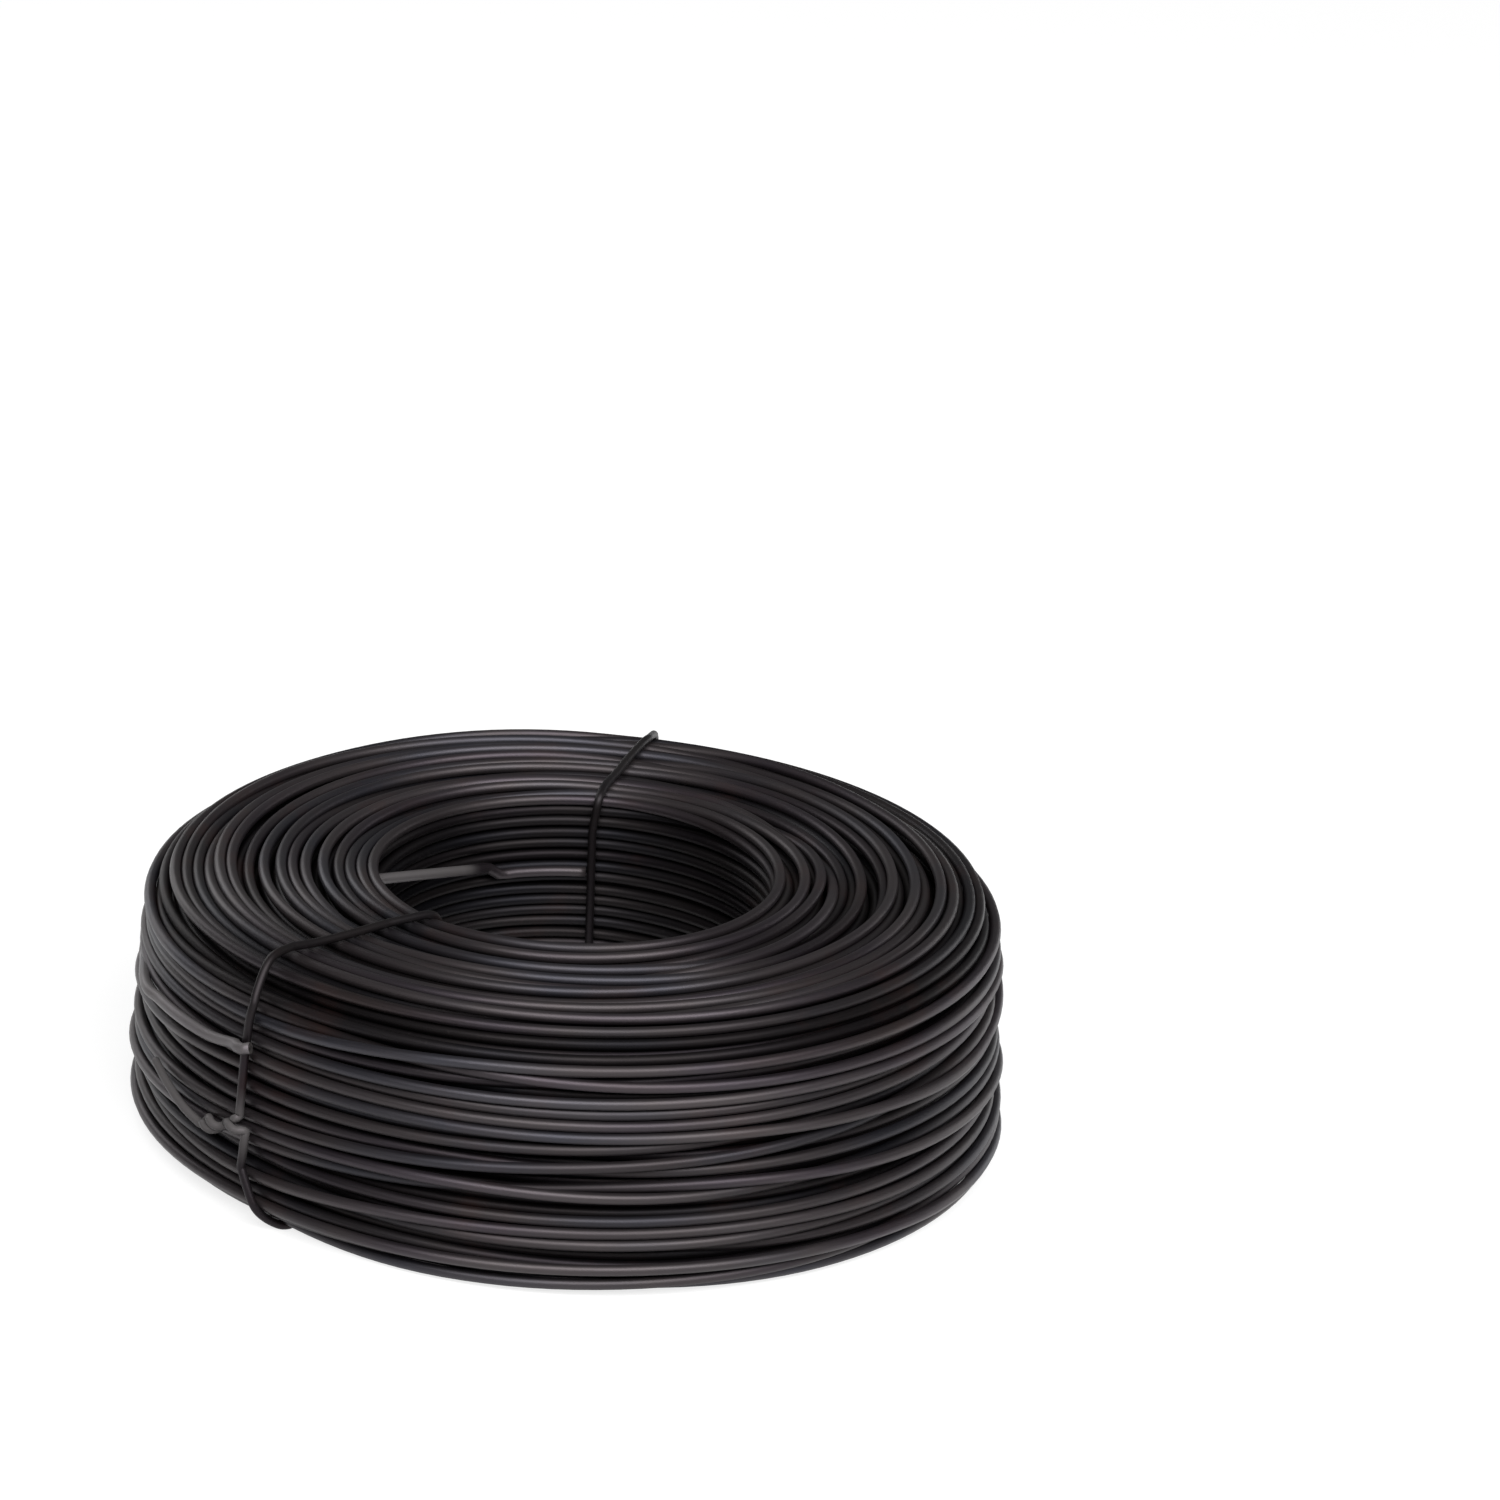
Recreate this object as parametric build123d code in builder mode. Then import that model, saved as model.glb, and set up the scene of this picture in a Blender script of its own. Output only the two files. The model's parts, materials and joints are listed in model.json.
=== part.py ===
"""A coil of annealed tie wire lying flat, held by two twisted wire ties."""
import os
from math import cos, radians, sin

from build123d import *

# Overall sizes, in millimetres
outer_diameter = 127.0
bore_diameter = 56.0
coil_height = 38.0
wire_diameter = 1.63

# The wound section: its wall leans in towards the top and its corners are rounded
wall_taper = 2.3
shoulder_radius = 6.5
heel_radius = 4.0
rim_radius = 3.0

# The turns that stand out on both ends and on the outer wall
turn_pitch = 4.2
turn_depth_share = 0.5

# The two ties, of thinner wire, by the direction they lie in as seen from above
tie_diameter = 1.22
front_tie_angle = 226.0
rear_tie_angle = 81.0
seat_gap = 0.15
wire_sides = 8
bend_steps = 8

# The twist that closes each tie, in shares of the straight wall's height and the tie's diameter
twist_height_share = 0.45
strand_spread_share = 0.55
twist_pitch_share = 4.6
twist_bend_share = 0.9
twist_lead_share = 2.6
tail_length_share = 9.0
tail_rise_share = 3.0
tail_drop_share = 1.8
twist_turns = 1.5
steps_per_turn = 10

# Sizes that follow from those above
outer_radius = outer_diameter / 2
bore_radius = bore_diameter / 2
turn_depth = turn_depth_share * wire_diameter
tie_radius = tie_diameter / 2
tie_proud = tie_radius + 2 * seat_gap
tie_sink = tie_radius + seat_gap
slot_inset = tie_radius + seat_gap
slot_width = tie_diameter + 2 * seat_gap
slot_overrun = bore_radius / 2
strand_spread = strand_spread_share * tie_diameter
twist_height = heel_radius + twist_height_share * (coil_height - heel_radius - shoulder_radius)
twist_pitch = twist_pitch_share * tie_diameter
twist_bend = twist_bend_share * tie_diameter
twist_lead = twist_lead_share * tie_diameter
tail_length = tail_length_share * tie_diameter
tail_rise = tail_rise_share * tie_diameter
tail_drop = tail_drop_share * tie_diameter


def radial_plane(angle):
    """The upright plane through the axis: x runs outwards, y runs up."""
    outwards = (cos(radians(angle)), sin(radians(angle)), 0)
    sideways = (sin(radians(angle)), -cos(radians(angle)), 0)
    return Plane(origin=(0, 0, 0), x_dir=outwards, z_dir=sideways)


def wall_radius(height):
    """Radius over the outer turns at a height: full just above the heel, less at the top."""
    lean = wall_taper / (coil_height - heel_radius)
    return outer_radius - lean * (height - heel_radius)


def tie_corners(inset):
    """Corners of a tie's loop round the section, from bottom outside to top outside."""
    inner = bore_radius + tie_sink + inset
    bottom = tie_sink + inset
    top = coil_height + tie_proud - inset
    return [
        (wall_radius(0) + tie_proud - inset, bottom),
        (inner, bottom),
        (inner, top),
        (wall_radius(coil_height) + tie_proud - inset, top),
    ]


def tie_bends(outset):
    """Bend radii at those four corners, this far outside the floor of the slot."""
    return [radius + outset for radius in (heel_radius, rim_radius, rim_radius, shoulder_radius)]


def straightened(wire):
    """Points along a wire, with each bend taken in a few straight steps."""
    points = [wire @ 0]
    for edge in wire.edges():
        steps = bend_steps if edge.geom_type == GeomType.CIRCLE else 1
        points += [edge @ (step / steps) for step in range(1, steps + 1)]
    return [tuple(point) for point in points]


def strand(side):
    """One end of a tie, above or below the twist: out from the wall, then round its mate."""
    axis_radius = wall_radius(twist_height) + tie_proud + strand_spread
    points = [
        (axis_radius, twist_height + side * (strand_spread + twist_bend), 0),
        (axis_radius, twist_height + side * (strand_spread + twist_bend / 4), twist_bend / 4),
    ]
    for step in range(round(twist_turns * steps_per_turn) + 1):
        turns = step / steps_per_turn
        phase = radians(90 * side + 360 * turns)
        out = axis_radius + strand_spread * cos(phase)
        up = twist_height + strand_spread * sin(phase)
        points.append((out, up, twist_bend + twist_pitch * turns))
    return points


def tie_path():
    """A tie from its short end, round the section, to the tail at its long end."""
    low = twist_height - twist_lead
    high = twist_height + twist_lead
    with BuildLine(mode=Mode.PRIVATE) as loop:
        FilletPolyline(
            (wall_radius(low) + tie_proud, low),
            *tie_corners(0),
            (wall_radius(high) + tie_proud, high),
            radius=tie_bends(slot_inset),
        )
    short_end = strand(-1)
    long_end = strand(1)
    out, up, along = long_end[-1]
    tail = (out - tail_drop, up + tail_rise, along + tail_length)
    return short_end[::-1] + straightened(loop.wire()) + long_end + [tail]


def wire_tie(angle):
    """One length of wire round the section at an angle, its ends twisted on the outside."""
    with BuildPart() as tie:
        with BuildLine(radial_plane(angle)) as path:
            Polyline(*tie_path())
        with BuildSketch(Plane(origin=path.wire() @ 0, z_dir=path.wire() % 0)):
            RegularPolygon(tie_radius, wire_sides)
        sweep(path=path.wire(), transition=Transition.RIGHT)
    return tie.part


# The rounded section that the coil was wound to, from the bore's foot round to its top
with BuildLine() as section_line:
    FilletPolyline(
        (bore_radius, 2 * rim_radius),
        (bore_radius, 0),
        (wall_radius(0), 0),
        (wall_radius(coil_height), coil_height),
        (bore_radius, coil_height),
        (bore_radius, coil_height - 2 * rim_radius),
        radius=[rim_radius, heel_radius, shoulder_radius, rim_radius],
    )
section = section_line.wire()

# The turns along it: a crest on the section for each, with a valley between two
first_turn = rim_radius / section.length
last_turn = 1 - first_turn
turn_count = round((last_turn - first_turn) * section.length / turn_pitch)
turn_step = (last_turn - first_turn) / turn_count
turn_points = [section @ first_turn]
for turn in range(turn_count):
    crest = first_turn + (turn + 1 / 2) * turn_step
    turn_points.append(section @ crest)
    if turn < turn_count - 1:
        valley = crest + turn_step / 2
        inwards = (section % valley).rotate(Axis.Z, 90)
        turn_points.append(section @ valley + inwards * turn_depth)
turn_points.append(section @ last_turn)

# The coil: one turned solid, with a slot in its bore and its lower end for each tie
with BuildPart() as wire_coil:
    with BuildSketch(Plane.XZ):
        with BuildLine():
            Polyline(*turn_points, close=True)
        make_face()
    revolve(axis=Axis.Z)
    for angle in (front_tie_angle, rear_tie_angle):
        with BuildSketch(radial_plane(angle)):
            with Locations(((bore_radius + outer_radius) / 2, coil_height / 2)):
                Rectangle(
                    outer_radius - bore_radius + 2 * slot_overrun, coil_height + 2 * slot_overrun
                )
            with BuildLine():
                FilletPolyline(*tie_corners(slot_inset), radius=tie_bends(0), close=True)
            make_face(mode=Mode.SUBTRACT)
        extrude(amount=slot_width / 2, both=True, mode=Mode.SUBTRACT)

# The two ties that hold it
front_tie = wire_tie(front_tie_angle)
rear_tie = wire_tie(rear_tie_angle)

# One file for each piece
os.makedirs("parts", exist_ok=True)
wire_coil.part.label = "wire_coil"
front_tie.label = "front_tie"
rear_tie.label = "rear_tie"
export_step(wire_coil.part, "parts/wire_coil.step")
export_step(front_tie, "parts/front_tie.step")
export_step(rear_tie, "parts/rear_tie.step")
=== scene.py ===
"""Dresses a coil of annealed tie wire: its wound turns, its two ties, its finish and its stage."""
import json
import math

import bpy
import numpy as np
from bpy.props import FloatProperty, FloatVectorProperty, IntProperty, PointerProperty
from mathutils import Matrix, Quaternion, Vector


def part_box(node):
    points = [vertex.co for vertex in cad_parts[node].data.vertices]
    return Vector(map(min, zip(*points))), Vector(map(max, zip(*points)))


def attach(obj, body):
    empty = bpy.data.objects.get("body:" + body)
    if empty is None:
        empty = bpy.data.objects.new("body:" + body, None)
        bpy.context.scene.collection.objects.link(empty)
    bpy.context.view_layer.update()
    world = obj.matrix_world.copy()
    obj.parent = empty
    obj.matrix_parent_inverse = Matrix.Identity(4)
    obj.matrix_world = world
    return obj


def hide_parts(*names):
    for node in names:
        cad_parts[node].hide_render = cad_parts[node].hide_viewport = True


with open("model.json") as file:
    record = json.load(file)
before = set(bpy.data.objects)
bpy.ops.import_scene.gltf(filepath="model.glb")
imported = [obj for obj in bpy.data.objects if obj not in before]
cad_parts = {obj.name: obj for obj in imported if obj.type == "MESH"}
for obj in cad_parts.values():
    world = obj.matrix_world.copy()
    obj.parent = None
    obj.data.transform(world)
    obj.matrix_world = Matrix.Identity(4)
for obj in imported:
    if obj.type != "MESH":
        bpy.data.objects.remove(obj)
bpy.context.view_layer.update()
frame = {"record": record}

bl_info = {
    "name": "Tie wire coil",
    "version": (1, 0, 0),
    "blender": (4, 5, 0),
    "location": "View3D > Sidebar > Wire coil",
    "description": "Winds, ties and stages a coil of annealed tie wire",
    "category": "Object",
}

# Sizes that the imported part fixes
MOUNTS = {mount["name"]: mount for mount in frame["record"]["mounts"]}
METRES_PER_MM = 0.001
BORE_RADIUS = MOUNTS["bore"]["dims"]["r_mm"] * METRES_PER_MM
OUTER_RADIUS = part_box("wire_coil")[1].x
COIL_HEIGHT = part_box("wire_coil")[1].z

# The photograph's frame is square
FRAME_PIXELS = 1500

# How far each tie strays round the coil, by share of its way from below the twist to above it
FRONT_SWAY_SHARES = (0, 0.04, 0.12, 0.33, 0.58, 0.68, 0.80, 0.88, 0.93, 1)
FRONT_SWAY_DEGREES = (1.3, 1, 6, 6, 4, 0, -1.5, 0.8, 0.2, 0)
REAR_SWAY_SHARES = (0, 0.33, 0.58, 0.68, 0.80, 1)
REAR_SWAY_DEGREES = (0, 4, 5, 1, -1.5, 0)

# Most values of a noise texture lie between these
NOISE_RANGE = (0.3, 0.7)


def length(name, description, default):
    """A length, in metres."""
    return FloatProperty(name=name, description=description, default=default, unit="LENGTH", precision=5)


def angle(name, description, degrees):
    """An angle, given in degrees."""
    return FloatProperty(name=name, description=description, default=math.radians(degrees), subtype="ANGLE")


def position(name, description, default):
    """A place in space, in metres."""
    return FloatVectorProperty(
        name=name, description=description, default=default, size=3, subtype="TRANSLATION", unit="LENGTH"
    )


def power(name, description, default):
    """A lamp's power, in watts."""
    return FloatProperty(name=name, description=description, default=default, unit="POWER")


def pixels(name, description, default):
    """A row or a column of the frame."""
    return FloatProperty(name=name, description=description, default=default, subtype="PIXEL")


def factor(name, description, default):
    """A share, from none to all."""
    return FloatProperty(
        name=name, description=description, default=default, min=0, max=1, subtype="FACTOR"
    )


def colour(name, description, default):
    """A colour, in linear light."""
    return FloatVectorProperty(name=name, description=description, default=default, size=3, subtype="COLOR")


class CoilSettings(bpy.types.PropertyGroup):
    """The wound wire."""

    wire_diameter: length("Wire diameter", "Thickness of the wire", 0.00163)
    wall_taper: length("Wall taper", "How far the wall leans in from its widest turn to the top", 0.0023)
    shoulder_radius: length("Shoulder radius", "Rounding of the top outer edge", 0.0065)
    heel_radius: length("Heel radius", "Rounding of the bottom outer edge", 0.004)
    rim_radius: length("Rim radius", "Rounding of the bore's two edges", 0.0015)
    layers: IntProperty(name="Layers", description="Layers that are laid, an odd number", default=19)
    turn_step: length("Turn step", "Height gained by each turn as it is laid", 0.00180)
    outer_turn_step: length("Outer turn step", "The same where no more turns are laid outside", 0.0033)
    ragged: length("Ragged top", "How far a layer may stop short of the top", 0.0008)
    first_height: length("First height", "Height at which the first turn starts", 0.0345)
    last_height: length("Last height", "Height at which the last turn stops", 0.0245)
    inner_end_height: length("Inner end height", "Height of the inner end along the bore's wall", 0.0258)
    kink_height: length("Kink height", "Height of the inner end's kink", 0.0271)
    kink_angle: angle("Kink angle", "Where that kink is, from the right, anticlockwise", 119)
    hook_rise: length("Hook rise", "How far the outer end rises on its way to the front tie", 0.0026)
    wander: length("Wander", "How far a turn strays", 0.0009)
    outer_wander: length("Outer wander", "How far a turn of the outermost layer strays", 0.0020)
    # Painted shade: from this depth inwards the skin and its reflection are painted at their darkest, for
    # the shade between the turns and down the bore.
    painted_shade_depth: length("Shading depth", "How far in the turns keep all their soot", 0.0019)
    lean: length("Lean", "How far the top lies to the left of the bottom", 0.001)
    tilt: length("Tilt", "How far the top rises on the right", 0.0018)
    seed: IntProperty(name="Seed", description="Which of many windings is made", default=7)
    slices: IntProperty(name="Slices", description="Steps along the wire in one turn", default=128)
    sides: IntProperty(name="Sides", description="Sides of the wire's section", default=8)
    settle_steps: IntProperty(name="Settling steps", description="Rounds of settling", default=200)


class TieSettings(bpy.types.PropertyGroup):
    """The two ties."""

    diameter: length("Diameter", "Thickness of a tie's wire", 0.00122)
    front_angle: angle("Front angle", "Where the front tie lies, from the right, anticlockwise", 226)
    rear_angle: angle("Rear angle", "Where the rear tie lies, from the right, anticlockwise", 81)
    pinch: length("Pinch", "How far a tie draws in the turns of the top and the wall", 0.0003)
    pinch_spread: angle("Pinch spread", "How far round the coil that shows", 9)
    twist_height: length("Twist height", "Height of the twist that closes a tie", 0.0153)
    twist_lead: length("Twist lead", "Where the two ends leave the wall, above and below the twist", 0.0006)
    twist_bend: length("Twist bend", "Run in which the two ends come together", 0.0002)
    twist_pitch: length("Twist pitch", "Run of one turn of the twist", 0.0056)
    twist_drop: length("Twist drop", "How far the twist sags along its run", 0.0028)
    tail_run: length("Tail run", "Length of the end that is left over", 0.0140)
    tail_rise: length("Tail rise", "How far that end rises", 0.0040)
    shoulder_slack: length("Shoulder slack", "How far the front tie stands off at the shoulder", 0.0014)
    sides: IntProperty(name="Sides", description="Sides of a tie's section", default=12)


class FinishSettings(bpy.types.PropertyGroup):
    """The skin of the wire."""

    brown: colour("Brown", "Warm patches of the oxide skin", (0.0092, 0.0062, 0.0055))
    black: colour("Black", "Most of the oxide skin", (0.0054, 0.0041, 0.0053))
    blue: colour("Blue", "Cool patches of the oxide skin", (0.0058, 0.0056, 0.0074))
    grey: colour("Grey", "Worn patches of the oxide skin", (0.0130, 0.0106, 0.0112))
    rust: colour("Rust", "Faint rust", (0.020, 0.008, 0.006))
    worn: colour("Worn", "Handled skin at the ends of a wire", (0.08, 0.075, 0.075))
    cut: colour("Cut", "Bright steel at a cut end", (0.42, 0.40, 0.38))
    # Painted shade: how light the skin is where the shade painted between the turns is darkest.
    painted_shade_share: factor("Shading share", "How light shade_painted skin is beside rubbed skin", 0.26)
    # Painted shade: the ties' skin is a darker, less shiny copy of the wire's.
    tie_shaded_copy_share: factor("Tie share", "How light the ties are beside the wire", 0.4)


class StageSettings(bpy.types.PropertyGroup):
    """The floor, the lights and the camera."""

    floor_seen: colour("Floor seen", "Colour of the floor where it is seen or mirrored", (0.30, 0.30, 0.30))
    floor_bounce: colour("Floor bounce", "Colour of the floor as it lights the coil", (0.02, 0.02, 0.02))
    key_power: power("Key", "Power of the key light", 106)
    key_width: length("Key width", "Width of the key light", 3.3)
    key_height: length("Key height", "Height of the key light", 1.35)
    key_place: position("Key place", "Where the key light hangs", (0.38, -1.66, 1.70))
    left_power: power("Left", "Power of the near light on the left", 0.14)
    right_power: power("Right", "Power of the low light on the right", 0.10)
    left_place: position("Left place", "Where the light on the left hangs", (-0.22, 0.20, 0.14))
    right_place: position("Right place", "Where the light on the right hangs", (0.28, 0.16, 0.05))
    side_size: length("Side size", "Width of the two side lights", 0.18)
    glow_strength: FloatProperty(name="Glow", description="Strength of the floor's own white", default=0.78)
    sky_strength: FloatProperty(name="Sky", description="Strength of the surroundings", default=0.15)
    elevation: angle("Elevation", "Camera's angle above the floor", 23.04)
    roll: angle("Roll", "Camera's turn about its own line of sight", 4.07)
    distance: length("Distance", "From the camera to the coil's middle", 0.80)
    aim_height: length("Aim height", "Height of the coil's middle", 0.020)
    aim_column: pixels("Aim column", "Frame column of the coil's middle", 574.3)
    aim_row: pixels("Aim row", "Frame row of the coil's middle", 980.0)
    pixels_per_metre: FloatProperty(
        name="Pixels per metre", description="Scale of the frame at the coil's middle", default=6944
    )


def spline(before, here, after, beyond, t):
    """A smooth value between here and after."""
    slope = after - before
    bend = 2 * before - 5 * here + 4 * after - beyond
    rest = 3 * here - before - 3 * after + beyond
    return (2 * here + slope * t + bend * t**2 + rest * t**3) / 2


def smooth_wander(count, spacing, spread, rng):
    """Smooth random values along the wire, with a new one every so many steps."""
    values = rng.normal(0, spread, math.ceil(count / spacing) + 4)
    place = np.arange(count) / spacing
    knot = place.astype(int)
    before, here, after, beyond = (values[knot + step] for step in range(4))
    return spline(before, here, after, beyond, place - knot)


def rounded(points, spacing):
    """A smooth line through points, in steps of about this spacing."""
    points = np.asarray(points)
    ends = np.concatenate([[2 * points[0] - points[1]], points, [2 * points[-1] - points[-2]]])
    line = []
    for before, here, after, beyond in zip(ends, ends[1:], ends[2:], ends[3:]):
        steps = max(round(np.linalg.norm(after - here) / spacing), 1)
        for step in range(steps):
            line.append(spline(before, here, after, beyond, step / steps))
    line.append(points[-1])
    return np.array(line)


def round_axis(turn, radius, height):
    """Points in space from their directions, radii and heights."""
    turn, radius, height = np.broadcast_arrays(turn, radius, height)
    return np.stack([radius * np.cos(turn), radius * np.sin(turn), height], axis=-1)


def leaned(points, coil):
    """The stack's slight lean to the left and tilt up to the right, which grow with height."""
    share = points[:, 2] / COIL_HEIGHT
    moved = points.copy()
    moved[:, 0] -= coil.lean * share
    moved[:, 2] += coil.tilt * share * points[:, 0] / OUTER_RADIUS
    return moved


def section_planes(coil):
    """The rounded section as outward normals and offsets, its corners taken in short steps."""
    lean = coil.wall_taper / (COIL_HEIGHT - coil.heel_radius)
    low_radius = OUTER_RADIUS + lean * coil.heel_radius
    top_radius = OUTER_RADIUS - coil.wall_taper
    corners = np.array(
        [(BORE_RADIUS, 0), (low_radius, 0), (top_radius, COIL_HEIGHT), (BORE_RADIUS, COIL_HEIGHT)]
    )
    radii = (coil.rim_radius, coil.heel_radius, coil.shoulder_radius, coil.rim_radius)
    corner_steps = 8
    normals = []
    offsets = []
    for corner, radius in enumerate(radii):
        here = corners[corner]
        back = corners[corner - 1] - here
        ahead = corners[(corner + 1) % len(corners)] - here
        back /= np.linalg.norm(back)
        ahead /= np.linalg.norm(ahead)
        half_angle = math.acos(back @ ahead) / 2
        middle = (back + ahead) / np.linalg.norm(back + ahead)
        centre = here + middle * radius / math.sin(half_angle)
        first = math.atan2(back[0], -back[1])
        sweep = math.pi - 2 * half_angle
        for step in range(corner_steps + 1):
            turn = first + sweep * step / corner_steps
            normal = np.array([math.cos(turn), math.sin(turn)])
            normals.append(normal)
            offsets.append(normal @ centre + radius)
    return np.array(normals), np.array(offsets)


def laid_turns(coil, rng):
    """Radius and height of each turn as it is laid: layers from the bore outwards, up and down in turn.

    The first layer starts part of the way up and the last stops there, so the layers
    between them share out the whole width below the one and above the other.
    """
    half_wire = coil.wire_diameter / 2
    inner = BORE_RADIUS + half_wire
    width = OUTER_RADIUS - half_wire - inner
    shoulder_start = OUTER_RADIUS - coil.wall_taper - coil.shoulder_radius
    last_layer = coil.layers - 1
    turns = []
    for layer in range(coil.layers):
        top_radius = inner + width * min(layer / (last_layer - 1), 1)
        into_shoulder = min(max(top_radius + half_wire - shoulder_start, 0), coil.shoulder_radius)
        drop = coil.shoulder_radius - math.sqrt(coil.shoulder_radius**2 - into_shoulder**2)
        low = coil.first_height if layer == 0 else half_wire
        top = COIL_HEIGHT - half_wire - drop - rng.uniform(0, coil.ragged)
        if layer == last_layer:
            top = coil.last_height
        loose_from = {last_layer: low, last_layer - 1: coil.last_height}.get(layer, top)
        tight = np.linspace(low, loose_from, round((loose_from - low) / coil.turn_step), endpoint=False)
        loose = np.linspace(loose_from, top, round((top - loose_from) / coil.outer_turn_step) + 1)
        heights = np.concatenate([tight, loose])
        innermost = 1 - np.clip((heights - coil.first_height) / coil.wire_diameter, 0, 1)
        outermost = last_layer - np.clip((heights - coil.last_height) / coil.wire_diameter, 0, 1)
        across = np.clip((layer - innermost) / (outermost - innermost), 0, 1)
        laid = np.stack([inner + width * across, heights], axis=1)
        turns.append(laid if layer % 2 == 0 else laid[::-1])
    return np.concatenate(turns)


def close_pairs(grid, reach):
    """Every two places in the same slice that lie within reach of each other."""
    slices = grid.shape[1]
    first = []
    second = []
    for index in range(slices):
        cut = grid[:, index]
        gap = (cut[:, None, 0] - cut[None, :, 0]) ** 2 + (cut[:, None, 1] - cut[None, :, 1]) ** 2
        one, other = np.nonzero(np.triu(gap < reach**2, 1))
        first.append(one * slices + index)
        second.append(other * slices + index)
    return np.concatenate(first), np.concatenate(second)


def drawn_in(tie, turn, normals):
    """How far the ties draw each place in, for each plane of the section: most from below."""
    near = np.zeros(len(turn))
    for tie_angle in (tie.front_angle, tie.rear_angle):
        apart = (turn - tie_angle + math.pi) % (2 * math.pi) - math.pi
        near += np.exp(-((apart / tie.pinch_spread) ** 2))
    below = np.clip(-normals[:, 1], 0, 1)
    depth = below * tie.diameter + (1 - below) * tie.pinch
    return near[:, None] * depth[None, :]


def settled_turns(coil, tie):
    """Radius and height along the whole wire after its turns have pushed each other apart."""
    rng = np.random.default_rng(coil.seed)
    wire = coil.wire_diameter
    turns = laid_turns(coil, rng)
    total = len(turns)
    along = np.arange(total * coil.slices) / coil.slices
    places = np.stack([np.interp(along, np.arange(total), turns[:, axis]) for axis in (0, 1)], axis=1)
    knots_per_turn = 3.5
    knot_spacing = coil.slices / knots_per_turn
    loose_depth = 4 * wire
    least_loose_share = 0.15
    loose_share = np.clip((places[:, 0] - BORE_RADIUS) / loose_depth, least_loose_share, 1)
    # The outermost turns stray most: all of it within a wire of the outside, none three wires in
    outer_share = np.clip((places[:, 0] - OUTER_RADIUS) / (2 * wire) + 1.5, 0, 1)
    stray = loose_share * (coil.wander + outer_share * (coil.outer_wander - coil.wander))
    places[:, 0] += smooth_wander(len(places), knot_spacing, 1, rng) * loose_share * coil.wander
    places[:, 1] += smooth_wander(len(places), knot_spacing, 1, rng) * stray
    normals, offsets = section_planes(coil)
    turn = math.pi + 2 * math.pi * along
    inset = offsets - wire / 2 - drawn_in(tie, turn, normals)
    pair_refresh = 8
    reach_share = 1.6
    push_share = 0.4
    smooth_share = 0.6
    pull = wire / 800
    for step in range(coil.settle_steps):
        if step % pair_refresh == 0:
            first, second = close_pairs(places.reshape(total, coil.slices, 2), reach_share * wire)
        apart = places[first] - places[second]
        gap = np.sqrt((apart**2).sum(axis=1)) + wire / 1e6
        move = apart * (np.clip(wire - gap, 0, None) * push_share / gap)[:, None]
        for axis in (0, 1):
            places[:, axis] += np.bincount(first, move[:, axis], len(places))
            places[:, axis] -= np.bincount(second, move[:, axis], len(places))
        places[:, 0] -= pull
        between = (places[:-2] + places[2:]) / 2
        places[1:-1] += smooth_share * (between - places[1:-1])
        over = places @ normals.T - inset
        worst = over.argmax(axis=1)
        depth = np.clip(over[np.arange(len(places)), worst], 0, None)
        places -= normals[worst] * depth[:, None]
    return places.reshape(total, coil.slices, 2)


def slice_at(grid, turn):
    """The cut through every turn that lies nearest to a direction."""
    slices = grid.shape[1]
    return grid[:, round((turn - math.pi) / (2 * math.pi) * slices) % slices]


def resting_radius(grid, turn, height, wire, side):
    """Radius at which one more wire rests on the turns, outside (1) or in the bore (-1)."""
    cut = slice_at(grid, turn)
    apart = np.abs(cut[:, 1] - height)
    near = apart < wire
    return side * np.max(side * cut[near, 0] + np.sqrt(wire**2 - apart[near] ** 2))


def inner_end(coil, grid, tie):
    """The inner end: along the bore's wall from the rear tie, kinked, then straight to the first turn."""
    wire = coil.wire_diameter
    height = coil.inner_end_height
    from_tie = math.radians(6.5)
    before_kink = math.radians(4)
    points = []
    wall_points = 6
    for turn in np.linspace(tie.rear_angle + from_tie, coil.kink_angle - before_kink, wall_points):
        points.append(round_axis(turn, resting_radius(grid, turn, height, wire, -1), height))
    kink_radius = resting_radius(grid, coil.kink_angle, coil.kink_height, wire, -1) - wire / 4
    kink = round_axis(coil.kink_angle, kink_radius, coil.kink_height)
    first = round_axis(math.pi, grid[0, 0, 0], grid[0, 0, 1])
    straight_shares = (0, 0.1, 0.5, 0.9)
    for share in straight_shares:
        points.append(kink + share * (first - kink))
    return points


def outer_end(coil, grid, tie):
    """The outer end: along the wall and hooked over the front tie."""
    wire = coil.wire_diameter
    points = []
    way_shares = (0.40, 0.55, 0.70, 0.85)
    for share in way_shares:
        turn = math.pi + share * (tie.front_angle - math.pi)
        height = coil.last_height + coil.hook_rise * share / 2
        points.append(round_axis(turn, resting_radius(grid, turn, height, wire, 1), height))
    hook_height = coil.last_height + coil.hook_rise
    hook_radius = resting_radius(grid, tie.front_angle, hook_height, wire, 1)
    hook_shares = ((-0.7, 0.5, -0.1), (0.1, 0.95, 0), (0.8, 1, 0.1), (1.4, 0.7, 0.3))
    for run_share, out_share, up_share in hook_shares:
        turn = tie.front_angle + run_share * wire / hook_radius
        points.append(round_axis(turn, hook_radius + out_share * wire, hook_height + up_share * wire))
    return points


def unshaded_share(coil, places):
    """How free of painted shade each place is: fully on the top, the wall and the bottom, and none from a
    painted shade depth further in, so that shade is painted between the turns and down the bore.
    """
    normals, offsets = section_planes(coil)
    most_inward = -0.5
    open_sides = normals[:, 0] > most_inward
    depth = (offsets[open_sides] - places @ normals[open_sides].T).min(axis=1) - coil.wire_diameter / 2
    return np.clip(1 - depth / coil.painted_shade_depth, 0, 1)


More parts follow.
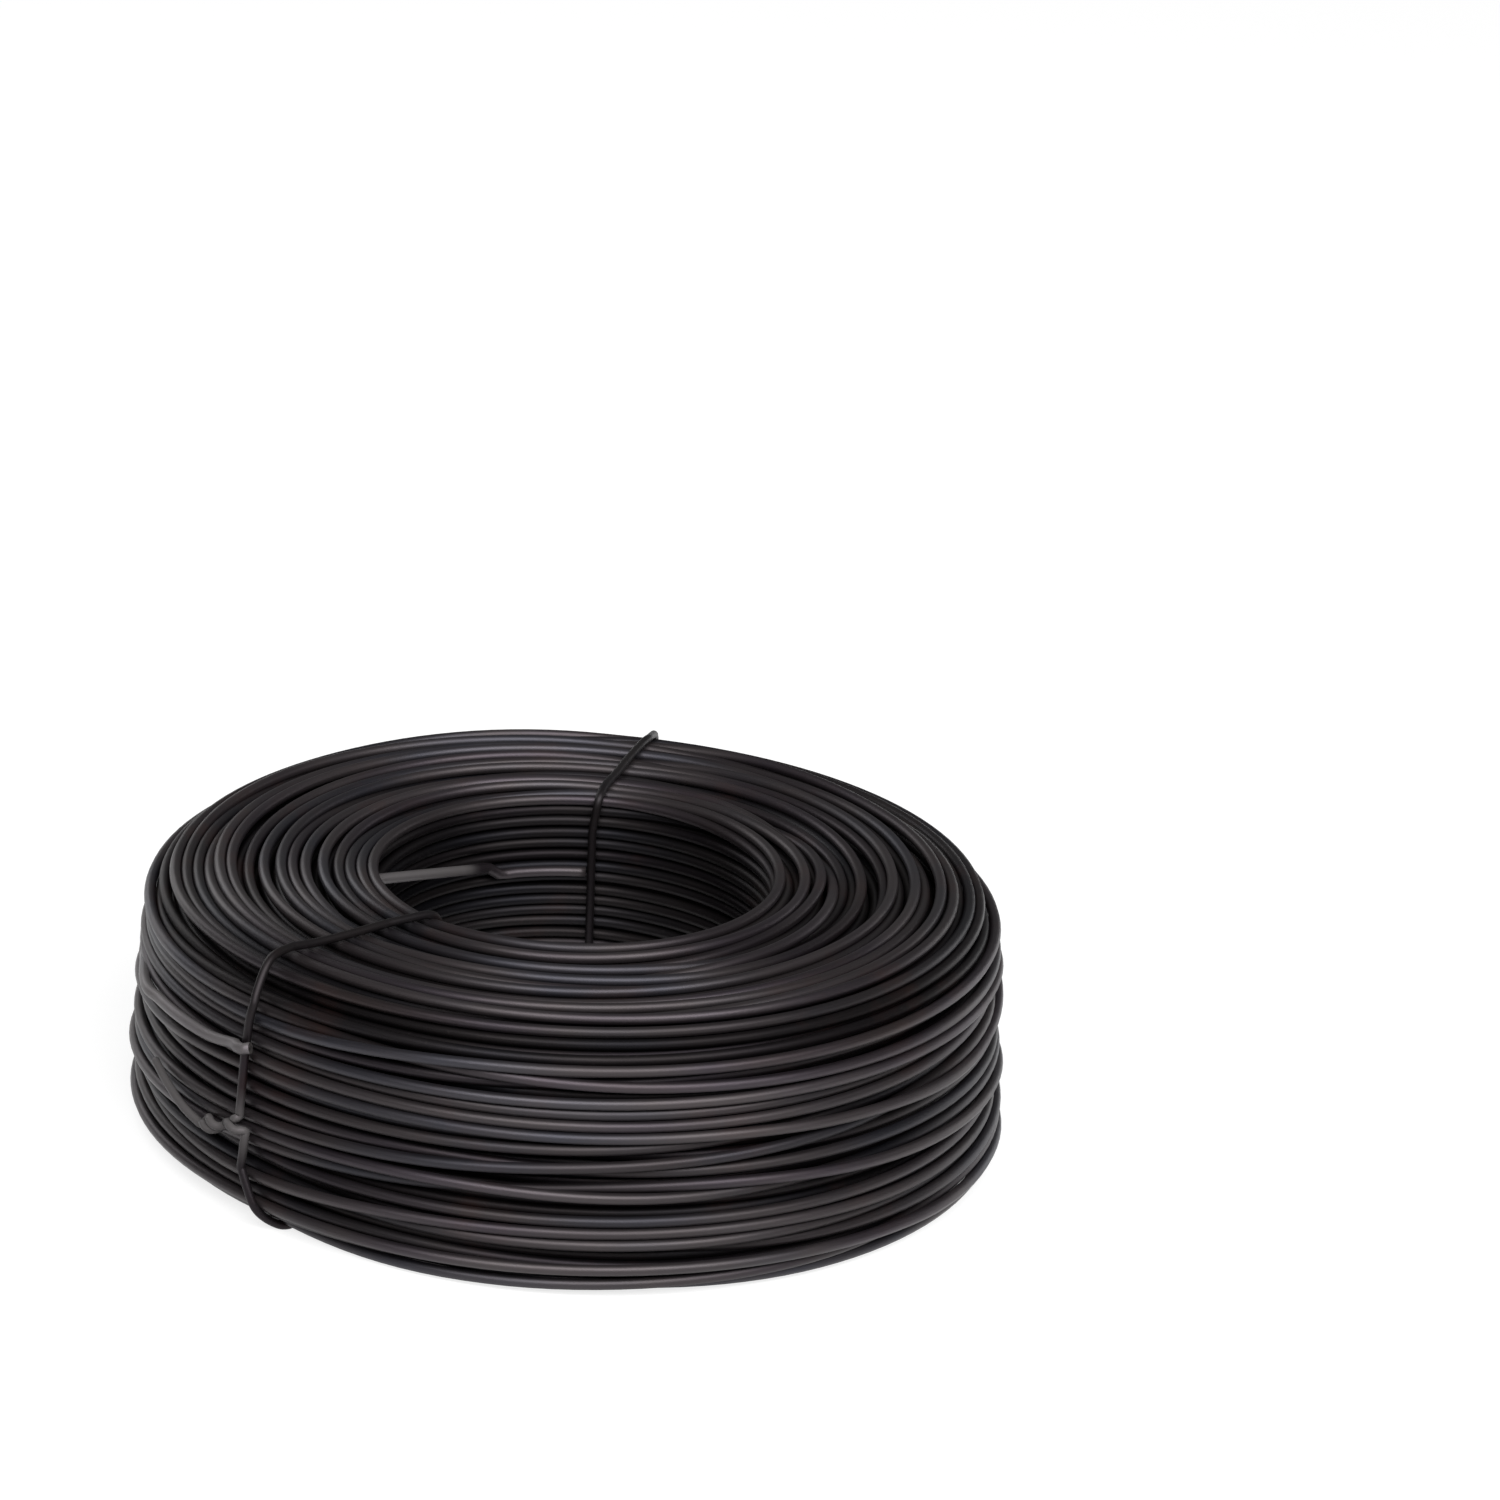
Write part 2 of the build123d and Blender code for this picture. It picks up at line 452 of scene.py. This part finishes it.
def wire_path(coil, grid, tie):
    """The settled wire, wound anticlockwise from the left, how far it is kept clear of painted shade and
    how worn it is along the way.
    """
    places = grid.reshape(-1, 2)
    turn = math.pi + 2 * math.pi * np.arange(len(places)) / coil.slices
    wound = round_axis(turn, places[:, 0], places[:, 1])
    spacing = coil.wire_diameter
    start = rounded(inner_end(coil, grid, tie) + [wound[0]], spacing)[:-1]
    end = rounded([wound[-1]] + outer_end(coil, grid, tie), spacing)[1:]
    points = leaned(np.concatenate([start, wound, end]), coil)
    # Both ends are worn by handling, the inner one from its kink on, and this fades in a quarter turn
    fade = coil.slices / 4
    last = len(points) - len(end)
    kink = len(start) / 2
    bounds = (kink - 1, kink + 1, len(start), len(start) + fade, last - fade, last)
    worn_shares = (0, 1, 1, 0, 0, 1)
    worn = np.interp(np.arange(len(points)), bounds, worn_shares)
    # Shade is painted on the wound turns that lie deep between other turns and down the bore; the ends
    # carry none.
    unshaded = np.concatenate([np.ones(len(start)), unshaded_share(coil, places), np.ones(len(end))])
    return points, np.maximum(unshaded, worn), worn


def outline(points):
    """The convex outline of points, clockwise."""
    ordered = sorted(map(tuple, points))
    line = []
    for run in (ordered, ordered[::-1]):
        half = []
        for x, y in run:
            while len(half) > 1:
                (x0, y0), (x1, y1) = half[-2:]
                if (x1 - x0) * (y - y0) - (y1 - y0) * (x - x0) < 0:
                    break
                half.pop()
            half.append((x, y))
        line += half[:-1]
    return np.array(line)


def evenly(points, spacing):
    """A closed line in even steps."""
    closed = np.concatenate([points, points[:1]])
    run = np.concatenate([[0], np.cumsum(np.linalg.norm(np.diff(closed, axis=0), axis=1))])
    places = np.arange(0, run[-1], spacing)
    return np.stack([np.interp(places, run, closed[:, axis]) for axis in (0, 1)], axis=1)


def tie_loop(coil, tie, grid, turn):
    """Radius and height along a tie, drawn tight round the turns from below the twist to above it."""
    near_degrees = (-3, 0, 3, 6)
    centres = np.concatenate([slice_at(grid, turn + step) for step in np.radians(near_degrees)])
    circle_steps = 32
    circle = 2 * math.pi * np.arange(circle_steps) / circle_steps
    apart = (coil.wire_diameter + tie.diameter) / 2
    ring = apart * np.stack([np.cos(circle), np.sin(circle)], axis=1)
    spacing = tie.diameter / 2
    line = evenly(outline((outline(centres)[:, None] + ring).reshape(-1, 2)), spacing)
    outside = line[:, 0] > (BORE_RADIUS + OUTER_RADIUS) / 2
    start = np.where(outside, np.abs(line[:, 1] - tie.twist_height), COIL_HEIGHT).argmin()
    line = np.roll(line, -start, axis=0)
    lead = round(tie.twist_lead / spacing)
    line = line[lead:-lead]
    smooth_rounds = 6
    for _ in range(smooth_rounds):
        line[1:-1] = (line[:-2] + 2 * line[1:-1] + line[2:]) / 4
    return line


def strand(tie, wall, side):
    """One end of a tie, above or below the twist, as run, radius and height: it turns round its mate."""
    spread = tie.diameter / 2
    axis = wall + spread
    twist_turns = 1.4
    steps = 12
    points = []
    for step in range(round(twist_turns * steps) + 1):
        turns = step / steps
        phase = math.pi / 2 * side + 2 * math.pi * turns
        sag = tie.twist_drop * turns / twist_turns
        points.append(
            (
                tie.twist_bend + tie.twist_pitch * turns,
                axis + spread * math.cos(phase),
                tie.twist_height - sag + spread * math.sin(phase),
            )
        )
    return points


def tie_path(coil, tie, grid, turn, sway_shares, sway_degrees, shoulder_slack):
    """A tie from its short end, round the section, to the tail at its long end."""
    wire = tie.diameter
    loop = tie_loop(coil, tie, grid, turn)
    way_share = np.linspace(0, 1, len(loop))
    loop[:, 1] = np.maximum(loop[:, 1], wire / 2)
    corner = (loop[:, 0] + loop[:, 1]).argmax()
    off = np.linalg.norm(loop - loop[corner], axis=1)
    slack_reach = 5 * wire
    slack = np.array((shoulder_slack / 4, shoulder_slack))
    loop += np.exp(-((off / slack_reach) ** 2))[:, None] * slack
    swayed = turn + np.radians(np.interp(way_share, sway_shares, sway_degrees))
    round_section = round_axis(swayed, loop[:, 0], loop[:, 1])
    ends = []
    for side, near in ((-1, 0), (1, -1)):
        points = strand(tie, loop[near, 0], side)
        if side > 0:
            run, radius, height = points[-1]
            tail_shares = (0.3, 0.65, 1)
            for share in tail_shares:
                out = radius + wire * (1 - share) / 2
                points.append((run + share * tie.tail_run, out, height + share * tie.tail_rise))
        run, radius, height = np.array(points).T
        ends.append(round_axis(swayed[near] - run / radius, radius, height))
    spacing = wire / 3
    path = rounded(np.concatenate([ends[0][::-1], round_section, ends[1]]), spacing)
    short = len(rounded(ends[0], spacing))
    last = len(path) - len(rounded(ends[1], spacing))
    fade = tie.tail_run / (2 * spacing)
    worn_share = np.interp(np.arange(len(path)), (short, short + fade, last - fade, last), (1, 0, 0, 1))
    return leaned(path, coil), worn_share


def across_line(points):
    """Vectors across a line that turn no more than the line does."""
    ahead = np.gradient(points, axis=0)
    ahead /= np.linalg.norm(ahead, axis=1)[:, None]
    across = np.empty_like(points)
    aside = (0.3, 0.5, 0.8)
    vector = np.cross(ahead[0], aside)
    for index, direction in enumerate(ahead):
        vector = vector - (vector @ direction) * direction
        vector /= np.linalg.norm(vector)
        across[index] = vector
    return across


def from_axis(points):
    """Unit vectors from the coil's axis to the points."""
    flat = points * (1, 1, 0)
    return flat / np.linalg.norm(flat, axis=1)[:, None]


def tube(name, points, radius, sides, across, start, unshaded, worn):
    """A closed round tube along points that keeps its place, its way round, how worn it is and where shade
    is painted on it, for the finish.
    """
    ahead = np.gradient(points, axis=0)
    ahead /= np.linalg.norm(ahead, axis=1)[:, None]
    out = across - (across * ahead).sum(axis=1)[:, None] * ahead
    out /= np.linalg.norm(out, axis=1)[:, None]
    side = np.cross(ahead, out)
    turn = 2 * math.pi * np.arange(sides) / sides
    ring = np.cos(turn)[None, :, None] * out[:, None] + np.sin(turn)[None, :, None] * side[:, None]
    corners = (points[:, None] + radius * ring).reshape(-1, 3)
    rings = len(points)
    lower = np.arange(sides)
    upper = (lower + 1) % sides
    base = sides * np.arange(rings - 1)[:, None]
    quads = np.stack([base + lower, base + upper, base + sides + upper, base + sides + lower], axis=2)
    quads = quads.reshape(-1)
    caps = np.concatenate([lower[::-1], sides * (rings - 1) + lower])
    faces = sides * (rings - 1)
    mesh = bpy.data.meshes.new(name)
    mesh.vertices.add(len(corners))
    mesh.vertices.foreach_set("co", corners.astype(np.float32).ravel())
    mesh.loops.add(len(quads) + len(caps))
    mesh.loops.foreach_set("vertex_index", np.concatenate([quads, caps]).astype(np.int32))
    mesh.polygons.add(faces + 2)
    loop_start = np.concatenate([4 * np.arange(faces), 4 * faces + sides * np.arange(2)])
    mesh.polygons.foreach_set("loop_start", loop_start.astype(np.int32))
    mesh.update(calc_edges=True)
    mesh.validate()
    smooth = np.arange(faces + 2) < faces
    mesh.polygons.foreach_set("use_smooth", smooth)
    mesh.polygons.foreach_set("material_index", (~smooth).astype(np.int32))
    run = start + np.concatenate([[0], np.cumsum(np.linalg.norm(np.diff(points, axis=0), axis=1))])
    place = np.empty((rings, sides, 3), np.float32)
    place[:, :, 0] = radius * np.cos(turn)
    place[:, :, 1] = radius * np.sin(turn)
    place[:, :, 2] = run[:, None]
    mesh.attributes.new("wire_place", "FLOAT_VECTOR", "POINT").data.foreach_set("vector", place.ravel())
    around = np.cos(turn)[None, :, None] * side[:, None] - np.sin(turn)[None, :, None] * out[:, None]
    around = around.astype(np.float32).ravel()
    mesh.attributes.new("wire_around", "FLOAT_VECTOR", "POINT").data.foreach_set("vector", around)
    # Where shade is painted and how worn the wire is, kept for the finish.
    for key, shade_and_wear in (("wire_unshaded", unshaded), ("wire_worn", worn)):
        values = np.repeat(shade_and_wear, sides).astype(np.float32)
        mesh.attributes.new(key, "FLOAT", "POINT").data.foreach_set("value", values)
    piece = bpy.data.objects.new(name, mesh)
    bpy.context.scene.collection.objects.link(piece)
    return piece


def new_material(name):
    """A node material with its shader, its nodes and its links."""
    material = bpy.data.materials.new(name)
    material.use_nodes = True
    tree = material.node_tree
    return material, tree.nodes["Principled BSDF"], tree.nodes, tree.links


def noise(nodes, links, vector, scale, detail, roughness):
    """A noise texture over the given coordinates."""
    texture = nodes.new("ShaderNodeTexNoise")
    texture.inputs["Scale"].default_value = scale
    texture.inputs["Detail"].default_value = detail
    texture.inputs["Roughness"].default_value = roughness
    links.new(vector, texture.inputs["Vector"])
    return texture.outputs["Fac"]


def ramp(nodes, links, value, stops):
    """Colours picked by a value."""
    node = nodes.new("ShaderNodeValToRGB")
    elements = node.color_ramp.elements
    while len(elements) < len(stops):
        elements.new(0)
    for element, (place, shade) in zip(elements, stops):
        element.position = place
        element.color = (*shade, 1)
    links.new(value, node.inputs["Fac"])
    return node.outputs["Color"]


def rescaled(nodes, links, value, old_range, new_range):
    """A value taken from one range to another."""
    node = nodes.new("ShaderNodeMapRange")
    node.inputs["From Min"].default_value = old_range[0]
    node.inputs["From Max"].default_value = old_range[1]
    node.inputs["To Min"].default_value = new_range[0]
    node.inputs["To Max"].default_value = new_range[1]
    links.new(value, node.inputs["Value"])
    return node.outputs["Result"]


def laid_over(nodes, links, share, below, above):
    """One colour laid over others by a share."""
    node = nodes.new("ShaderNodeMix")
    node.data_type = "RGBA"
    links.new(share, node.inputs["Factor"])
    links.new(below, node.inputs["A"])
    node.inputs["B"].default_value = (*above, 1)
    return node.outputs["Result"]


def combined(nodes, links, operation, one, other):
    """One value made of two."""
    node = nodes.new("ShaderNodeMath")
    node.operation = operation
    links.new(one, node.inputs[0])
    links.new(other, node.inputs[1])
    return node.outputs["Value"]


def kept(nodes, name):
    """What the mesh keeps under a name."""
    node = nodes.new("ShaderNodeAttribute")
    node.attribute_name = name
    return node.outputs


def darkened(nodes, links, colours, shade):
    """Colours multiplied by a value."""
    node = nodes.new("ShaderNodeVectorMath")
    node.operation = "SCALE"
    links.new(colours, node.inputs[0])
    links.new(shade, node.inputs["Scale"])
    return node.outputs["Vector"]


def stretched(nodes, links, vector, scale):
    """Coordinates scaled by a different amount on each axis."""
    node = nodes.new("ShaderNodeVectorMath")
    node.operation = "MULTIPLY"
    node.inputs[1].default_value = scale
    links.new(vector, node.inputs[0])
    return node.outputs["Vector"]


def pale(shade):
    """The hue of a dark colour, most of the way to white."""
    white_share = 0.42
    return tuple(white_share + (1 - white_share) * part / max(shade) for part in shade)


def annealed_steel(name, finish, shaded_copy_share):
    """Oxide skin of annealed wire: patches along its length, drawn streaks, worn flecks and faint rust.
    Painted shade darkens the skin and its reflection between the turns and down the bore, and a shaded copy
    share below one makes a darker copy of the skin, painted shade for the ties.
    """
    material, skin, nodes, links = new_material(name)
    along_wire = kept(nodes, "wire_place")["Vector"]
    where = nodes.new("ShaderNodeTexCoord").outputs["Object"]
    patches_per_metre = 9
    sheens_per_metre = 5
    streaks_per_metre = 60
    streaks_across = 2400
    flecks_per_metre = 1500
    stains_per_metre = 70
    streak_depth = 0.00003
    # A shaded copy share below one makes a darker, less shiny copy of the skin. This is painted shade, used
    # for the ties.
    streak_shades = (0.75 * shaded_copy_share, 1.25 * shaded_copy_share)
    sheen_levels = (0.22 * shaded_copy_share, 0.48 * shaded_copy_share)
    roughness_range = (0.41, 0.51)
    patches = noise(nodes, links, stretched(nodes, links, along_wire, (0, 0, patches_per_metre)), 1, 3, 0.6)
    patch_colours = (
        (0.28, finish.brown),
        (0.42, finish.black),
        (0.50, finish.grey),
        (0.58, finish.blue),
        (0.72, finish.brown),
    )
    colours = ramp(nodes, links, patches, patch_colours)
    tints = ramp(nodes, links, patches, [(stop, pale(patch)) for stop, patch in patch_colours])
    links.new(tints, skin.inputs["Specular Tint"])
    streak_scale = (streaks_across, streaks_across, streaks_per_metre)
    streaks = noise(nodes, links, stretched(nodes, links, along_wire, streak_scale), 1, 4, 0.65)
    streak_shade = rescaled(nodes, links, streaks, NOISE_RANGE, streak_shades)
    # Painted shade: the skin is darkened between the turns and down the bore, where shade falls, down to
    # the painted shade share at its darkest.
    painted_shade = rescaled(nodes, links, kept(nodes, "wire_unshaded")["Fac"], (0, 1), (finish.painted_shade_share, 1))
    streak_and_painted_shade = combined(nodes, links, "MULTIPLY", streak_shade, painted_shade)
    shaded = darkened(nodes, links, colours, streak_and_painted_shade)
    flecks = noise(nodes, links, where, flecks_per_metre, 2, 0.5)
    fleck_share = rescaled(nodes, links, flecks, (0.66, 0.78), (0, 0.5))
    flecked = laid_over(nodes, links, fleck_share, shaded, finish.grey)
    stains = noise(nodes, links, where, stains_per_metre, 5, 0.6)
    stain_share = rescaled(nodes, links, stains, (0.55, 0.75), (0, 0.45))
    stained = laid_over(nodes, links, stain_share, flecked, finish.rust)
    worn_share = kept(nodes, "wire_worn")["Fac"]
    links.new(laid_over(nodes, links, worn_share, stained, finish.worn), skin.inputs["Base Color"])
    sheens = noise(nodes, links, stretched(nodes, links, along_wire, (0, 0, sheens_per_metre)), 1, 2, 0.5)
    sheen = rescaled(nodes, links, sheens, NOISE_RANGE, sheen_levels)
    # The same painted shade dims the reflection.
    links.new(combined(nodes, links, "MULTIPLY", sheen, painted_shade), skin.inputs["Specular IOR Level"])
    links.new(rescaled(nodes, links, streaks, NOISE_RANGE, roughness_range), skin.inputs["Roughness"])
    skin.inputs["IOR"].default_value = 1.8
    skin.inputs["Anisotropic"].default_value = 0.4
    links.new(kept(nodes, "wire_around")["Vector"], skin.inputs["Tangent"])
    bump = nodes.new("ShaderNodeBump")
    bump.inputs["Strength"].default_value = 0.25
    bump.inputs["Distance"].default_value = streak_depth
    links.new(streaks, bump.inputs["Height"])
    links.new(bump.outputs["Normal"], skin.inputs["Normal"])
    return material


def cut_steel(name, finish):
    """Bright, sheared steel at the ends of a wire."""
    material, skin, nodes, links = new_material(name)
    where = nodes.new("ShaderNodeTexCoord").outputs["Object"]
    tears_per_metre = 4000
    tears = noise(nodes, links, where, tears_per_metre, 3, 0.6)
    bright = tuple(finish.cut)
    dull = tuple(part / 2 for part in bright)
    links.new(ramp(nodes, links, tears, ((0.35, dull), (0.65, bright))), skin.inputs["Base Color"])
    links.new(rescaled(nodes, links, tears, NOISE_RANGE, (0.3, 0.5)), skin.inputs["Roughness"])
    skin.inputs["Metallic"].default_value = 1
    return material


class WIRECOIL_OT_wind(bpy.types.Operator):
    """Wind the whole wire turn by turn and let the turns settle"""

    bl_idname = "wire_coil.wind"
    bl_label = "Wind the coil"

    def execute(self, context):
        coil = context.scene.coil_settings
        tie = context.scene.tie_settings
        finish = context.scene.finish_settings
        skin = annealed_steel("annealed_wire", finish, 1)
        wind(coil, tie, settled_turns(coil, tie), skin, cut_steel("cut_wire", finish))
        return {"FINISHED"}


def wind(coil, tie, grid, skin, end):
    """The wound wire, in five stretches."""
    points, unshaded, worn = wire_path(coil, grid, tie)
    stretches = 5
    bounds = np.linspace(0, len(points) - 1, stretches + 1).astype(int)
    start = 0.0
    for index in range(stretches):
        part = slice(bounds[index], bounds[index + 1] + 1)
        stretch = points[part]
        piece = tube(
            f"wire_stretch_{index + 1}",
            stretch,
            coil.wire_diameter / 2,
            coil.sides,
            from_axis(stretch),
            start,
            unshaded[part],
            worn[part],
        )
        start += np.linalg.norm(np.diff(stretch, axis=0), axis=1).sum()
        piece.data.materials.append(skin)
        piece.data.materials.append(end)
        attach(piece, "root")
        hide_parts("wire_coil")


class WIRECOIL_OT_tie(bpy.types.Operator):
    """Draw the two ties round the settled turns and twist their ends"""

    bl_idname = "wire_coil.tie"
    bl_label = "Tie the coil"

    def execute(self, context):
        coil = context.scene.coil_settings
        tie = context.scene.tie_settings
        finish = context.scene.finish_settings
        # The ties get the darker copy of the skin: painted shade.
        skin = annealed_steel("annealed_tie", finish, finish.tie_shaded_copy_share)
        bind(coil, tie, settled_turns(coil, tie), skin, cut_steel("cut_tie", finish))
        return {"FINISHED"}


def bind(coil, tie, grid, skin, end):
    """The two ties, each with its own sway round the section."""
    for node, turn, sway_shares, sway_degrees, slack in (
        ("front_tie", tie.front_angle, FRONT_SWAY_SHARES, FRONT_SWAY_DEGREES, tie.shoulder_slack),
        ("rear_tie", tie.rear_angle, REAR_SWAY_SHARES, REAR_SWAY_DEGREES, 0),
    ):
        points, worn = tie_path(coil, tie, grid, turn, sway_shares, sway_degrees, slack)
        # No shade is painted on the ties.
        unshaded = np.ones(len(points))
        across = across_line(points)
        piece = tube(f"{node}_wire", points, tie.diameter / 2, tie.sides, across, 0.0, unshaded, worn)
        piece.data.materials.append(skin)
        piece.data.materials.append(end)
        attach(piece, "root")
        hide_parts(node)


class WIRECOIL_OT_set_stage(bpy.types.Operator):
    """Lay the floor, hang the lights and place the camera"""

    bl_idname = "wire_coil.set_stage"
    bl_label = "Set the stage"

    def execute(self, context):
        stage = context.scene.stage_settings
        lay_floor(stage)
        light_world(context.scene, stage)
        hang_lights(stage)
        place_camera(context.scene, stage)
        return {"FINISHED"}


def lay_floor(stage):
    """A wide floor: white where it is seen or mirrored, darker to the light that it throws back."""
    reach = 4
    mesh = bpy.data.meshes.new("floor")
    corners = [(-reach, -reach, 0), (reach, -reach, 0), (reach, reach, 0), (-reach, reach, 0)]
    mesh.from_pydata(corners, [], [(0, 1, 2, 3)])
    floor = bpy.data.objects.new("floor", mesh)
    bpy.context.scene.collection.objects.link(floor)
    paint, coat, nodes, links = new_material("floor_paint")
    path = nodes.new("ShaderNodeLightPath").outputs
    seen = combined(nodes, links, "MAXIMUM", path["Is Camera Ray"], path["Is Glossy Ray"])
    seen = combined(nodes, links, "MAXIMUM", seen, path["Is Transmission Ray"])
    mix = nodes.new("ShaderNodeMix")
    mix.data_type = "RGBA"
    mix.inputs["A"].default_value = (*stage.floor_bounce, 1)
    mix.inputs["B"].default_value = (*stage.floor_seen, 1)
    links.new(seen, mix.inputs["Factor"])
    links.new(mix.outputs["Result"], coat.inputs["Base Color"])
    glow = rescaled(nodes, links, seen, (0, 1), (0, stage.glow_strength))
    links.new(glow, coat.inputs["Emission Strength"])
    coat.inputs["Emission Color"].default_value = (1, 1, 1, 1)
    coat.inputs["Roughness"].default_value = 1
    coat.inputs["Specular IOR Level"].default_value = 0
    mesh.materials.append(paint)


def light_world(scene, stage):
    """Even white surroundings."""
    world = bpy.data.worlds.new("studio")
    world.use_nodes = True
    sky = world.node_tree.nodes["Background"]
    sky.inputs["Color"].default_value = (1, 1, 1, 1)
    sky.inputs["Strength"].default_value = stage.sky_strength
    scene.world = world


def hang_lights(stage):
    """A wide, soft key high in front, a near light behind on the left and a low one behind on the right."""
    key = bpy.data.lights.new("key", "AREA")
    key.energy = stage.key_power
    key.shape = "RECTANGLE"
    key.size = stage.key_width
    key.size_y = stage.key_height
    left = bpy.data.lights.new("left", "AREA")
    left.energy = stage.left_power
    right = bpy.data.lights.new("right", "AREA")
    right.energy = stage.right_power
    for lamp in (left, right):
        lamp.shape = "DISK"
        lamp.size = stage.side_size
    left_edge = Vector((-OUTER_RADIUS, 0, COIL_HEIGHT))
    right_edge = Vector((OUTER_RADIUS, 0, 0))
    for lamp, where, aim in (
        (key, stage.key_place, Vector()),
        (left, stage.left_place, left_edge),
        (right, stage.right_place, right_edge),
    ):
        light = bpy.data.objects.new(lamp.name, lamp)
        light.location = where
        light.rotation_euler = (aim - light.location).to_track_quat("-Z", "Y").to_euler()
        bpy.context.scene.collection.objects.link(light)


def place_camera(scene, stage):
    """The photograph's view: low in front, slightly rolled, the coil below and left of the middle."""
    lens = bpy.data.cameras.new("camera")
    focal_pixels = stage.pixels_per_metre * stage.distance
    lens.lens = lens.sensor_width * focal_pixels / FRAME_PIXELS
    lens.clip_start = stage.distance / 100
    camera = bpy.data.objects.new("camera", lens)
    aim = Vector((0, 0, stage.aim_height))
    back = Vector((0, -math.cos(stage.elevation), math.sin(stage.elevation)))
    camera.location = aim + back * stage.distance
    level = (-back).to_track_quat("-Z", "Y")
    rolled = level @ Quaternion((0, 0, 1), stage.roll)
    middle = FRAME_PIXELS / 2
    seen = Vector(((stage.aim_column - middle) / focal_pixels, (middle - stage.aim_row) / focal_pixels, -1))
    camera.rotation_mode = "QUATERNION"
    camera.rotation_quaternion = rolled @ seen.rotation_difference(Vector((0, 0, -1)))
    scene.collection.objects.link(camera)
    scene.camera = camera
    scene.view_settings.view_transform = "Standard"


class WIRECOIL_PT_panel(bpy.types.Panel):
    """The steps that make the coil"""

    bl_idname = "WIRECOIL_PT_panel"
    bl_label = "Wire coil"
    bl_space_type = "VIEW_3D"
    bl_region_type = "UI"
    bl_category = "Wire coil"

    def draw(self, context):
        for operator in OPERATORS:
            self.layout.operator(operator.bl_idname)


SETTINGS = {
    "coil_settings": CoilSettings,
    "tie_settings": TieSettings,
    "finish_settings": FinishSettings,
    "stage_settings": StageSettings,
}
OPERATORS = (WIRECOIL_OT_wind, WIRECOIL_OT_tie, WIRECOIL_OT_set_stage)
CLASSES = (*SETTINGS.values(), *OPERATORS, WIRECOIL_PT_panel)


def register():
    for cls in CLASSES:
        bpy.utils.register_class(cls)
    for name, settings in SETTINGS.items():
        setattr(bpy.types.Scene, name, PointerProperty(type=settings))


def unregister():
    for name in SETTINGS:
        delattr(bpy.types.Scene, name)
    for cls in reversed(CLASSES):
        bpy.utils.unregister_class(cls)


def main():
    register()
    bpy.ops.wire_coil.wind()
    bpy.ops.wire_coil.tie()
    bpy.ops.wire_coil.set_stage()


if __name__ == "__main__":
    main()
